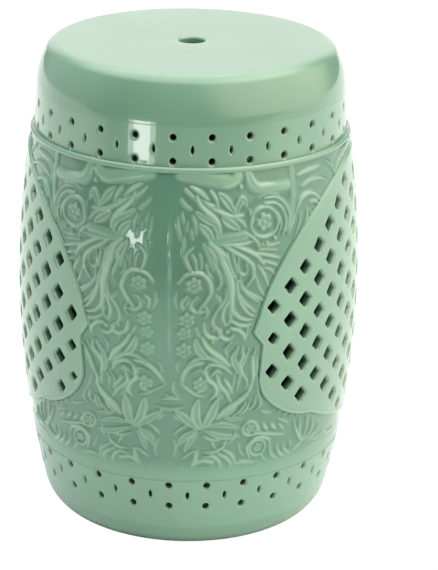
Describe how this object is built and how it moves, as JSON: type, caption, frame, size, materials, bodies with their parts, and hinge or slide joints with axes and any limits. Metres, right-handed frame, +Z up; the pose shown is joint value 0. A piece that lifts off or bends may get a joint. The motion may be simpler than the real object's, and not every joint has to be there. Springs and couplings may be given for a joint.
{
  "type": "garden stool",
  "caption": "Barrel-shaped glazed ceramic garden stool with a flat seat, pierced bands, pierced lattice side panels and relief foliage.",
  "frame": {"origin": "middle of the ring that stands on the floor, at floor level", "axes": "+Z up along the barrel's axis, -Y towards the front mould seam, +X towards the right lattice panel"},
  "size_m": [0.331, 0.3312, 0.471],
  "materials": {
    "glaze": "gloss",
    "foot": "gloss"
  },
  "bodies": {
    "root": {"seat": "glaze", "upper_band": "glaze", "upper_bead": "glaze", "right_wall": "glaze", "left_wall": "glaze", "right_lattice": "glaze", "left_lattice": "glaze", "right_panel_rim": "glaze", "left_panel_rim": "glaze", "front_right_foliage": "glaze", "front_left_foliage": "glaze", "back_left_foliage": "glaze", "back_right_foliage": "glaze", "front_right_upper_rosette": "glaze", "front_left_upper_rosette": "glaze", "back_left_upper_rosette": "glaze", "back_right_upper_rosette": "glaze", "front_right_middle_rosette": "glaze", "front_left_middle_rosette": "glaze", "back_left_middle_rosette": "glaze", "back_right_middle_rosette": "glaze", "front_right_lower_rosette": "glaze", "front_left_lower_rosette": "glaze", "back_left_lower_rosette": "glaze", "back_right_lower_rosette": "glaze", "lower_bead": "glaze", "lower_band": "glaze", "foot_ring": "foot"}
  },
  "joints": []
}
